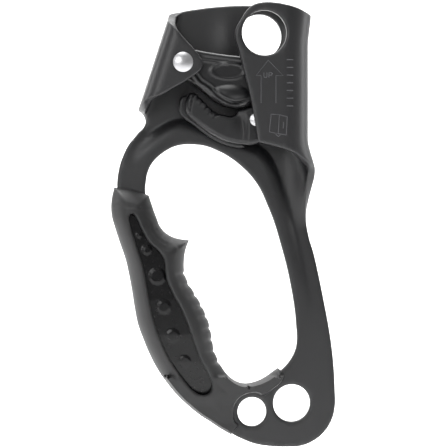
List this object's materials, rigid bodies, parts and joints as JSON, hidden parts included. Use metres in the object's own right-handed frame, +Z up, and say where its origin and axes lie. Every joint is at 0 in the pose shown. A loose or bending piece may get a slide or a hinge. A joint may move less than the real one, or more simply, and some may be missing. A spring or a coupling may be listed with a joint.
{
  "type": "handled rope clamp",
  "caption": "Handled ascender for climbing a rope: a folded plate with a toothed, sprung cam, a thumb catch, a moulded grip and holes for karabiners.",
  "frame": {"origin": "centre of the main connection hole in the foot of the plate, half way through the lower plate", "axes": "+Z up the rope, +X towards the rope channel, -Y out of the front, the side that shows the cam"},
  "size_m": [0.0966, 0.0318, 0.1902],
  "materials": {
    "black_anodised": "satin black anodised",
    "black_coated_steel": "black coated, semi gloss",
    "bright_steel": "bright",
    "bush_bronze": "plain",
    "spring_steel": "drawn wire",
    "catch_nylon": "satin moulded",
    "core_nylon": "gloss moulded",
    "grip_rubber": "matt moulded"
  },
  "bodies": {
    "clamp": {"frame": "black_anodised", "cam_bush": "bush_bronze", "cam_axle": "bright_steel", "cam_washer_front": "bright_steel", "cam_washer_back": "bright_steel", "cam_spring": "spring_steel", "handle_core": "core_nylon", "grip": "grip_rubber"},
    "cam_body": {"cam": "black_coated_steel", "trigger_pin": "bright_steel"},
    "catch_body": {"trigger": "catch_nylon", "trigger_spring": "spring_steel"}
  },
  "joints": [
    {"name": "cam_pivot", "type": "hinge", "parent": "clamp", "child": "cam_body", "pos_m": [-0.0482, -0.00625, 0.1453], "axis": [0, 1, 0], "range_deg": [0, 31], "stiffness_Nm_per_rad": 0.15, "springref_deg": -34.38},
    {"name": "trigger_pivot", "type": "hinge", "parent": "cam_body", "child": "catch_body", "pos_m": [-0.0165, -0.00675, 0.1215], "axis": [0, -1, 0], "range_deg": [0, 20], "stiffness_Nm_per_rad": 0.03, "springref_deg": -28.65}
  ]
}
